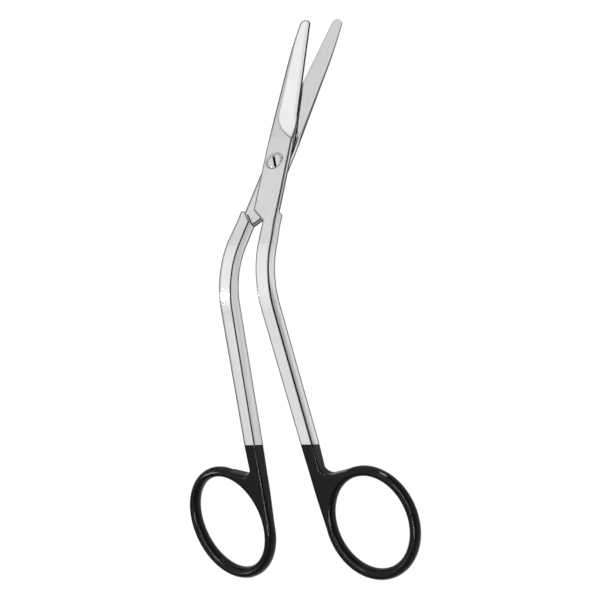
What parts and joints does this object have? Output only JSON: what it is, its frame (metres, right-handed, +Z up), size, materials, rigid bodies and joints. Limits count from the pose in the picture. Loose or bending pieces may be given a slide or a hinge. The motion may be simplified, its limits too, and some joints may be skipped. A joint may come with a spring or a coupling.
{
  "type": "nasal_scissors",
  "caption": "Angled nasal scissors with straight blunt blades, long bent shanks, a slotted pivot screw and black-coated finger rings, lying slightly open.",
  "frame": {"origin": "centre of the bounding box, on the table that the scissors lie on", "axes": "+Y from the finger rings towards the blade tips, +Z up from the table, +X to the side of the front half's ring"},
  "size_m": [0.0774, 0.1626, 0.0395],
  "materials": {
    "polished_steel": "finely polished stainless steel, satin on the flats",
    "screw_steel": "turned and polished stainless steel",
    "black_coating": "smooth glossy black coating on the finger rings and the ends of the shanks"
  },
  "bodies": {
    "rear": {"rear_half": "polished_steel", "pivot_screw": "screw_steel"},
    "front": {"front_half": "polished_steel"}
  },
  "joints": [
    {"name": "blade_pivot", "type": "hinge", "parent": "rear", "child": "front", "pos_m": [0, 0.03641, 0.02312], "axis": [0, 0.4502, 0.893], "range_deg": [-11.9, 78]}
  ]
}
